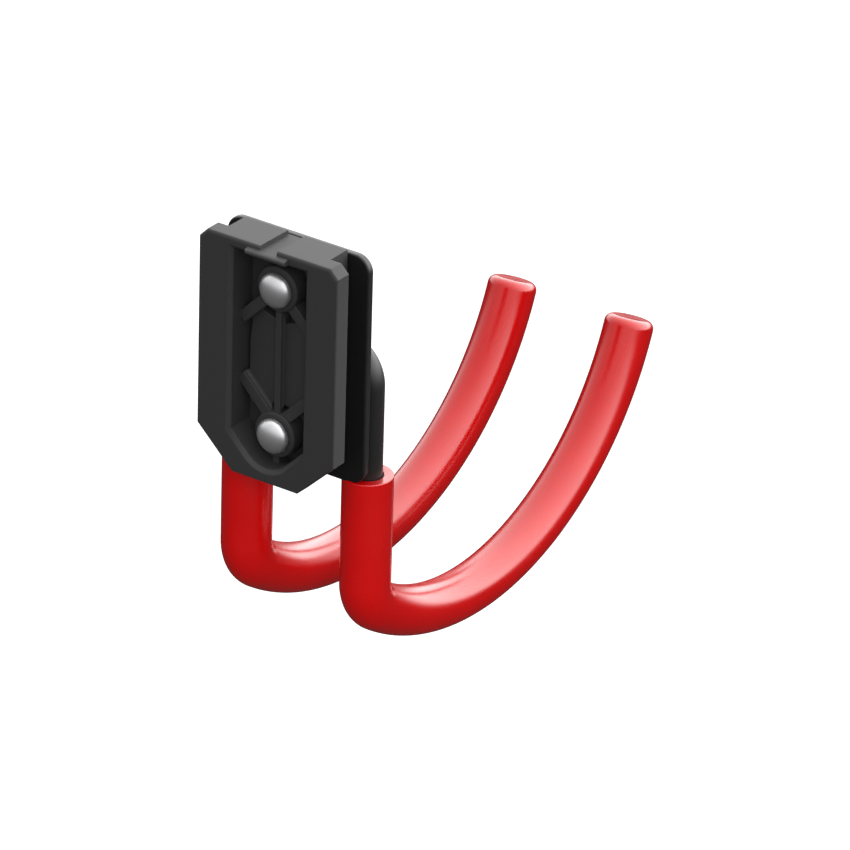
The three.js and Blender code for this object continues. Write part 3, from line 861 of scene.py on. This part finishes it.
def mirrored(bm):
    """The same solid on the other side of the middle, still facing outwards."""
    bmesh.ops.scale(bm, verts=bm.verts[:], vec=(-1, 1, 1))
    bmesh.ops.reverse_faces(bm, faces=bm.faces[:])
    return bm


def pad(pocket, side):
    """The raised pad between the rib, a side wall and two braces."""
    inner = pocket.rib_width / 2 - PAD_SINK
    outer = pocket.width / 2 - pocket.pad_side_gap
    shoulder = outer - pocket.pad_side_gap
    high_end = RIVET_HEIGHTS["upper"] - pocket.boss_radius - pocket.pad_high_gap
    low_end = RIVET_HEIGHTS["lower"] + pocket.boss_radius + pocket.pad_low_gap
    rise = pocket.pad_end_slope * shoulder
    outline = [
        (inner, low_end), (shoulder, low_end - rise), (outer, low_end - rise + pocket.pad_side_gap),
        (outer, high_end + rise - outer), (shoulder, high_end + rise), (inner, high_end),
    ]
    bm = prism(outline, pocket.pad_face, pocket.depth + PAD_SINK)
    bevel(bm, edges_where(bm, lambda place: near(place.y, pocket.pad_face)), pocket.edge_round, 2)
    return mirrored(bm) if side < 0 else bm


def pocket_ribs(pocket):
    """Rib, braces and pads, which run into one another inside the pocket."""
    half = pocket.rib_width / 2
    low, high = pocket.low_wall - PAD_SINK, CLEAT_HIGH.z - pocket.top_wall + PAD_SINK
    rib = block((-half, pocket.rib_face, low), (half, pocket.depth + RIB_SINK, high))
    bevel(rib, edges_where(rib, lambda place: near(place.y, pocket.rib_face)), pocket.edge_round, 2)
    solids = [rib]
    for side in (-1, 1):
        solids.append(brace(pocket, side, RIVET_HEIGHTS["upper"], 0, -1))
        solids.append(brace(pocket, side, RIVET_HEIGHTS["lower"], pocket.low_brace_lift, 1))
        solids.append(pad(pocket, side))
    return solids


def boss(pocket, height):
    """The round boss under a rivet's head."""
    floor = pocket.depth + BOSS_SINK
    bm = round_bar(pocket.boss_radius, height, pocket.boss_face, floor, 72)
    face_edges = edges_where(bm, lambda place: near(place.y, pocket.boss_face))
    bevel(bm, face_edges, pocket.boss_edge, 3)
    return bm


def bore_for_rivets(piece, front, back):
    """Bores a piece through, from its front to its back, for both rivets."""
    bore = bpy.context.scene.hook_rivets.shank + SEAT_GAP
    for height in RIVET_HEIGHTS.values():
        combine(piece, [round_bar(bore, height, front - PAST, back + PAST, 48)], "DIFFERENCE")


class BICYCLE_HOOK_OT_cleat(bpy.types.Operator):
    """Model the moulded cleat with its ribbed pocket, side slots, top channel and lip"""

    bl_idname = "bicycle_hook.cleat"
    bl_label = "Moulded Cleat"

    def execute(self, context):
        cleat = context.scene.hook_cleat
        pocket = context.scene.hook_pocket
        piece = front_plate(cleat)
        combine(piece, [neck(cleat)], "UNION")
        self.fillet_slots(piece, cleat)
        combine(piece, [prism(pocket_outline(pocket), -PAST, pocket.depth)], "DIFFERENCE")
        soften_rim(piece, pocket)
        combine(piece, [lip(cleat)], "UNION")
        half = cleat.channel_width / 2
        floor = CLEAT_HIGH.z - cleat.channel_depth
        channel = block((-half, -PAST, floor), (half, CLEAT_HIGH.y + PAST, CLEAT_HIGH.z + PAST))
        combine(piece, [channel], "DIFFERENCE")
        combine(piece, pocket_ribs(pocket), "UNION")
        for height in RIVET_HEIGHTS.values():
            combine(piece, [boss(pocket, height)], "UNION")
        bore_for_rivets(piece, 0, CLEAT_HIGH.y)
        finish_piece(piece, moulded_plastic, "cleat_body")
        return {"FINISHED"}

    @staticmethod
    def fillet_slots(piece, cleat):
        """Rounds the inner corner where each side of the neck meets the front plate."""
        def fillet(bm):
            inner = edges_where(
                bm, lambda place: near(abs(place.x), cleat.neck_width / 2)
                and near(place.y, cleat.thickness),
            )
            bevel(bm, inner, cleat.slot_fillet, 3)
        rework(piece, fillet)


# ------------------------------------------------------------------ plate and rivets

class BICYCLE_HOOK_OT_plate(bpy.types.Operator):
    """Model the steel plate behind the cleat"""

    bl_idname = "bicycle_hook.plate"
    bl_label = "Steel Plate"

    def execute(self, context):
        plate = context.scene.hook_plate
        low, high = PLATE_LOW, PLATE_HIGH
        bm = bmesh.new()
        corners = [(low.x, low.z), (high.x, low.z), (high.x, high.z), (low.x, high.z)]
        bm.faces.new([bm.verts.new((x, low.y, z)) for x, z in corners])
        bmesh.ops.bevel(
            bm, geom=bm.verts[:], offset=plate.corner, offset_type="OFFSET", affect="VERTICES",
            segments=12, profile=0.5, material=-1,
        )
        drawn = bmesh.ops.extrude_face_region(bm, geom=bm.faces[:])
        moved = [part for part in drawn["geom"] if isinstance(part, bmesh.types.BMVert)]
        bmesh.ops.translate(bm, verts=moved, vec=(0, high.y - low.y, 0))
        bmesh.ops.recalc_face_normals(bm, faces=bm.faces[:])
        for depth in (low.y, high.y):
            bevel(bm, edges_where(bm, lambda place: near(place.y, depth)), plate.edge_round, 4)
        piece = object_from("riveted_plate", bm)
        bore_for_rivets(piece, low.y, high.y)
        finish_piece(piece, painted_steel, "back_plate")
        return {"FINISHED"}


def rivet_profile(rivets, seat, tail_seat, tail_end, head_radius):
    """Half the rivet's section, as radius and depth: dome, rim, shank and formed tail."""
    steps = 14
    under_head = 0.1 * MM
    small, chamfer = 0.15 * MM, 0.2 * MM
    flat_share = 0.45              # upright part of the tail's height
    crown = 0.8                    # below 1, the tail's crown is fuller than a half round
    rim = seat - rivets.rim
    dome = rivets.head_height - rivets.rim
    points = [(0, rim - dome)]
    for step in range(1, steps + 1):
        turn = math.pi / 2 * step / steps
        points.append((head_radius * math.sin(turn), rim - dome * math.cos(turn)))
    points += [(head_radius, seat - under_head), (head_radius - small, seat)]
    points += [(rivets.shank, seat), (rivets.shank, tail_seat), (rivets.tail - chamfer, tail_seat)]
    tail_height = tail_end - tail_seat
    flat_end = tail_seat + flat_share * tail_height
    points += [(rivets.tail, tail_seat + chamfer), (rivets.tail, flat_end)]
    for step in range(1, steps + 1):
        turn = math.pi / 2 * step / steps
        across = rivets.tail * math.cos(turn) ** crown if step < steps else 0
        rise = flat_share + (1 - flat_share) * math.sin(turn)
        points.append((across, tail_seat + tail_height * rise))
    return points


class BICYCLE_HOOK_OT_rivets(bpy.types.Operator):
    """Model the two domed rivets that clamp the plate to the cleat"""

    bl_idname = "bicycle_hook.rivets"
    bl_label = "Rivets"

    def execute(self, context):
        rivets = context.scene.hook_rivets
        seat = context.scene.hook_pocket.boss_face - SEAT_GAP
        radius = (RIVET_HIGH.x - RIVET_LOW.x) / 2
        points = rivet_profile(rivets, seat, PLATE_HIGH.y + SEAT_GAP, RIVET_HIGH.y, radius)
        for name, height in RIVET_HEIGHTS.items():
            bm = bmesh.new()
            verts = [bm.verts.new((across, depth, height)) for across, depth in points]
            edges = [bm.edges.new(pair) for pair in zip(verts, verts[1:])]
            bmesh.ops.spin(
                bm, geom=[*verts, *edges], cent=(0, 0, height), axis=(0, 1, 0),
                angle=2 * math.pi, steps=56, use_merge=True,
            )
            bmesh.ops.remove_doubles(bm, verts=bm.verts[:], dist=0.005 * MM)
            bmesh.ops.recalc_face_normals(bm, faces=bm.faces[:])
            piece = object_from(f"rivet_{name}", bm)
            finish_piece(piece, bright_steel, f"{name}_rivet", sharp=40)
        return {"FINISHED"}


# ------------------------------------------------------------------ rod, sleeves and welds

QUARTER_OUT = Matrix.Rotation(math.pi / 2, 3, "X")     # from a heading to its bend's centre,
QUARTER_BACK = Matrix.Rotation(-math.pi / 2, 3, "X")   # walking to the tip, and back from it
BEAD_SHIFT = 0.2 * MM              # a round bead lies this much nearer to the rod than the frame's


def arm_tip(rod, side, cut=0.0):
    """The place and heading of an arm's end, walked from the leg downwards."""
    centre = Vector((side * LEG_X, ROD_Y, rod.leg_low))
    heading = Vector((0, 0, -1))
    for radius, turn in ((rod.heel, rod.heel_angle), (rod.sweep, rod.sweep_angle - cut / rod.sweep)):
        middle = centre + (QUARTER_OUT @ heading) * radius
        rotation = Matrix.Rotation(turn, 3, "X")
        centre = middle + rotation @ (centre - middle)
        heading = rotation @ heading
    return centre, heading


class BICYCLE_HOOK_OT_rod(bpy.types.Operator):
    """Bend the steel rod: one crossbar, two legs and two curved arms"""

    bl_idname = "bicycle_hook.rod"
    bl_label = "Bent Rod"

    def execute(self, context):
        rod = context.scene.hook_rod
        cut = context.scene.hook_sleeves.tip_wall
        tip, heading = arm_tip(rod, -1, cut)
        sweep = Sweep(tip, -heading, ROD_RADIUS, 40)
        sweep.cap()
        long_turn = rod.sweep_angle - cut / rod.sweep
        sweep.bend(QUARTER_BACK @ sweep.heading, rod.sweep, long_turn, 60)
        sweep.bend(QUARTER_BACK @ sweep.heading, rod.heel, rod.heel_angle, 16)
        leg = CROSSBAR_Z - rod.elbow - rod.leg_low
        sweep.straight(leg, 8)
        sweep.bend((1, 0, 0), rod.elbow, math.pi / 2, 20)
        sweep.straight(2 * (LEG_X - rod.elbow), 6)
        sweep.bend((0, 0, -1), rod.elbow, math.pi / 2, 20)
        sweep.straight(leg, 8)
        sweep.bend((0, 1, 0), rod.heel, rod.heel_angle, 16)
        sweep.bend(QUARTER_OUT @ sweep.heading, rod.sweep, long_turn, 60)
        sweep.cap()
        piece = object_from("bent_rod", sweep.done())
        finish_piece(piece, painted_steel, "hook_rod")
        return {"FINISHED"}


class BICYCLE_HOOK_OT_sleeves(bpy.types.Operator):
    """Model the two soft sleeves, each with a bore for the rod and a rounded closed tip"""

    bl_idname = "bicycle_hook.sleeves"
    bl_label = "Sleeves"

    def execute(self, context):
        rod = context.scene.hook_rod
        sleeves = context.scene.hook_sleeves
        for name, side in (("left", -1), ("right", 1)):
            piece = object_from(f"soft_sleeve_{name}", self.sleeve(rod, sleeves, side))
            finish_piece(piece, red_vinyl, f"{name}_sleeve", sharp=50)
        return {"FINISHED"}

    @staticmethod
    def sleeve(rod, sleeves, side):
        """From the tip's flat end, up the outside, in over the mouth and down the bore."""
        round_start, heading = arm_tip(rod, side, sleeves.tip_round)
        flat = SLEEVE_RADIUS - sleeves.tip_round
        tip = round_start + heading * sleeves.tip_round
        sweep = Sweep(tip, -heading, flat * 0.35, 64)
        sweep.cap()
        sweep.resize(flat * 0.8)
        sweep.resize(flat)
        sweep.corner(sleeves.tip_round, inward=False, steps=10)
        turn = rod.sweep_angle - sleeves.tip_round / rod.sweep
        sweep.bend(QUARTER_BACK @ sweep.heading, rod.sweep, turn, 96)
        sweep.bend(QUARTER_BACK @ sweep.heading, rod.heel, rod.heel_angle, 24)
        leg = SLEEVE_HIGH.z - sleeves.mouth_round - rod.leg_low
        sweep.straight(leg, 10)
        sweep.corner(sleeves.mouth_round, inward=True, steps=4)
        bore = ROD_RADIUS + SEAT_GAP
        sweep.resize(bore + sleeves.mouth_round)
        sweep.heading.negate()
        sweep.resize(bore, sleeves.mouth_round)
        sweep.straight(leg, 4)
        sweep.bend((0, 1, 0), rod.heel, rod.heel_angle, 12)
        turn = rod.sweep_angle - (sleeves.tip_wall - SEAT_GAP) / rod.sweep
        sweep.bend(QUARTER_OUT @ sweep.heading, rod.sweep, turn, 48)
        sweep.cap()
        return sweep.done()


def weld_bead(start, end, welds):
    """A rippled bead from one place to another, rounded off at both ends."""
    run = end - start
    least = 0.35 * welds.radius
    rings = 6                      # for each ripple
    sweep = Sweep(start, run, least, 16)
    sweep.cap()
    steps = round(run.length / welds.pitch) * rings
    for step in range(1, steps + 1):
        share_along = step / steps
        phase = (share_along * steps / rings) % 1
        wave = welds.ripple * (1 - phase) ** 2
        ends = min(1, math.sin(math.pi * share_along) * run.length / (4 * welds.radius))
        radius = max(least, (welds.radius - wave) * ends ** 0.5)
        sweep.resize(radius, run.length / steps)
    sweep.cap()
    return sweep.done()


class BICYCLE_HOOK_OT_welds(bpy.types.Operator):
    """Lay the weld beads that hold the rod on the plate"""

    bl_idname = "bicycle_hook.welds"
    bl_label = "Weld Beads"

    def execute(self, context):
        welds = context.scene.hook_welds
        y = (BAR_WELD_LOW.y + BAR_WELD_HIGH.y) / 2
        inset = welds.radius
        bar = BAR_WELD_HIGH.x - inset
        bar_z = (BAR_WELD_LOW.z + BAR_WELD_HIGH.z) / 2 - CROSSBAR_Z - BEAD_SHIFT
        leg = LEG_X - (LEG_WELD_LOW.x + LEG_WELD_HIGH.x) / 2 - BEAD_SHIFT
        low, high = LEG_WELD_LOW.z + inset, LEG_WELD_HIGH.z - inset
        beads = {
            "crossbar_weld_top": ((-bar, y, CROSSBAR_Z + bar_z), (bar, y, CROSSBAR_Z + bar_z)),
            "crossbar_weld_bottom": ((-bar, y, CROSSBAR_Z - bar_z), (bar, y, CROSSBAR_Z - bar_z)),
            "left_leg_weld": ((leg - LEG_X, y, low), (leg - LEG_X, y, high)),
            "right_leg_weld": ((LEG_X - leg, y, low), (LEG_X - leg, y, high)),
        }
        for node, (start, end) in beads.items():
            bead = weld_bead(Vector(start), Vector(end), welds)
            piece = object_from(f"bead_{node.replace('_weld', '')}", bead)
            finish_piece(piece, painted_steel, node, sharp=60)
        return {"FINISHED"}


# ------------------------------------------------------------------ stage

ROOM_SHINE = 1.6                   # how bright the upper room looks in a reflection
BACK_SHINE = 6.0                   # what its far side adds to that
LOW_SHINE = 0.05                   # the lower room, in a reflection
KEY_PLACE = (1.3, -1.6, 1.1)
KEY_SIZE = 0.9
KEY_POWER = 26                     # watts
SENSOR_WIDTH = 36                  # millimetres


def studio_world():
    """A white surround for the camera; for light, a bright upper room over a dim lower one."""
    world = bpy.data.worlds.new("studio")
    world.use_nodes = True
    bpy.context.scene.world = world
    world.cycles.sampling_method = "NONE"
    nodes = Nodes(world.node_tree)
    background = world.node_tree.nodes["Background"]
    direction = nodes.add("ShaderNodeTexCoord").outputs["Generated"]
    split = nodes.add("ShaderNodeSeparateXYZ")
    nodes.join(direction, split.inputs["Vector"])

    above = nodes.span(split.outputs["Z"], -0.06, 0.1)
    behind = nodes.span(split.outputs["Y"], -0.7, 0.8)
    right = nodes.span(split.outputs["X"], -1.0, 0.7, 0.45, 1.0)
    room = nodes.calc("ADD", nodes.calc("MULTIPLY", behind, BACK_SHINE), ROOM_SHINE)
    upper = nodes.calc("MULTIPLY", room, right)
    shine = nodes.calc("ADD", nodes.calc("MULTIPLY", above, upper), LOW_SHINE)

    soft_above = nodes.span(split.outputs["Z"], -0.6, 0.8, 0.32, 1.4)
    soft = nodes.calc("MULTIPLY", soft_above, right)

    path = nodes.add("ShaderNodeLightPath")
    light = nodes.blend(path.outputs["Is Glossy Ray"], soft, shine, "Float")
    seen = nodes.blend(path.outputs["Is Camera Ray"], light, 1.0, "Float")
    background.inputs["Color"].default_value = (1, 1, 1, 1)
    nodes.join(seen, background.inputs["Strength"])


def key_light(target):
    """A broad lamp on the camera's side that leaves no highlight of its own."""
    data = bpy.data.lights.new("key", "AREA")
    data.shape = "DISK"
    data.size = KEY_SIZE
    data.energy = KEY_POWER
    lamp = bpy.data.objects.new("key", data)
    lamp.location = KEY_PLACE
    lamp.rotation_euler = (target - Vector(KEY_PLACE)).to_track_quat("-Z", "Y").to_euler()
    lamp.visible_glossy = False
    lamp.visible_camera = False
    bpy.context.scene.collection.objects.link(lamp)


def pale_floor(height):
    """A wide pale floor well below the hook."""
    bm = bmesh.new()
    bmesh.ops.create_grid(bm, x_segments=1, y_segments=1, size=8)
    bmesh.ops.translate(bm, verts=bm.verts[:], vec=(0, 0, height))
    floor = object_from("floor", bm)
    material, nodes, shader, place = shade_tree("floor_paint")
    cloud = nodes.noise(place, 3.0, 4.0)
    paint = nodes.blend(cloud, (0.92, 0.92, 0.92), (0.95, 0.95, 0.95))
    nodes.join(paint, shader.inputs["Base Color"])
    shader.inputs["Roughness"].default_value = 0.9
    shader.inputs["Specular IOR Level"].default_value = 0.0
    shader.inputs["Emission Color"].default_value = (1, 1, 1, 1)
    shader.inputs["Emission Strength"].default_value = 0.35
    floor.data.materials.append(material)
    floor.visible_glossy = False
    floor.visible_diffuse = False


def aimed_camera(stage):
    """A long lens on the wall side and to the right, looking down on the cleat's front."""
    turn, tilt = stage.azimuth, stage.elevation
    right = Vector((math.cos(turn), math.sin(turn), 0))
    level = Vector((math.sin(turn), -math.cos(turn), 0))
    back = level * math.cos(tilt) + Vector((0, 0, math.sin(tilt)))
    up = back.cross(right)
    aim = Vector((0, 40 * MM, 40 * MM))
    place = aim + stage.aim_right * right + stage.aim_up * up + stage.distance * back
    rolled_right = math.cos(stage.roll) * right + math.sin(stage.roll) * up
    rolled_up = math.cos(stage.roll) * up - math.sin(stage.roll) * right
    data = bpy.data.cameras.new("camera")
    data.lens = stage.lens
    data.sensor_width = SENSOR_WIDTH
    data.clip_start = 0.1
    data.clip_end = 100
    camera = bpy.data.objects.new("camera", data)
    axes = Matrix((rolled_right, rolled_up, back)).transposed().to_4x4()
    camera.matrix_world = Matrix.Translation(place) @ axes
    bpy.context.scene.collection.objects.link(camera)
    bpy.context.scene.camera = camera


class BICYCLE_HOOK_OT_stage(bpy.types.Operator):
    """Set up the camera, the pale floor and the soft studio light"""

    bl_idname = "bicycle_hook.stage"
    bl_label = "Stage"

    def execute(self, context):
        stage = context.scene.hook_stage
        aimed_camera(stage)
        pale_floor(CAD_BOX[0].z - stage.floor_drop)
        studio_world()
        key_light((CAD_BOX[0] + CAD_BOX[1]) / 2)
        context.scene.view_settings.view_transform = "Standard"
        context.scene.view_settings.look = "None"
        return {"FINISHED"}


# ------------------------------------------------------------------ add-on

STEPS = (
    BICYCLE_HOOK_OT_stage,
    BICYCLE_HOOK_OT_cleat,
    BICYCLE_HOOK_OT_plate,
    BICYCLE_HOOK_OT_rivets,
    BICYCLE_HOOK_OT_rod,
    BICYCLE_HOOK_OT_sleeves,
    BICYCLE_HOOK_OT_welds,
)


class BICYCLE_HOOK_PT_panel(bpy.types.Panel):
    """The hook's sizes, and the steps that build it"""

    bl_idname = "BICYCLE_HOOK_PT_panel"
    bl_label = "Bicycle Hook"
    bl_space_type = "VIEW_3D"
    bl_region_type = "UI"
    bl_category = "Bicycle Hook"

    def draw(self, context):
        for step in STEPS:
            self.layout.operator(step.bl_idname)
        for name, kind in SETTINGS.items():
            settings = getattr(context.scene, name)
            group = self.layout.box()
            group.label(text=kind.__doc__)
            for entry in kind.__annotations__:
                group.prop(settings, entry)


CLASSES = (*SETTINGS.values(), *STEPS, BICYCLE_HOOK_PT_panel)


def register():
    for entry in CLASSES:
        bpy.utils.register_class(entry)
    for name, kind in SETTINGS.items():
        setattr(bpy.types.Scene, name, PointerProperty(type=kind))


def unregister():
    for name in SETTINGS:
        delattr(bpy.types.Scene, name)
    for entry in reversed(CLASSES):
        bpy.utils.unregister_class(entry)


def main():
    register()
    for step in STEPS:
        group, name = step.bl_idname.split(".")
        getattr(getattr(bpy.ops, group), name)()


if __name__ == "__main__":
    main()
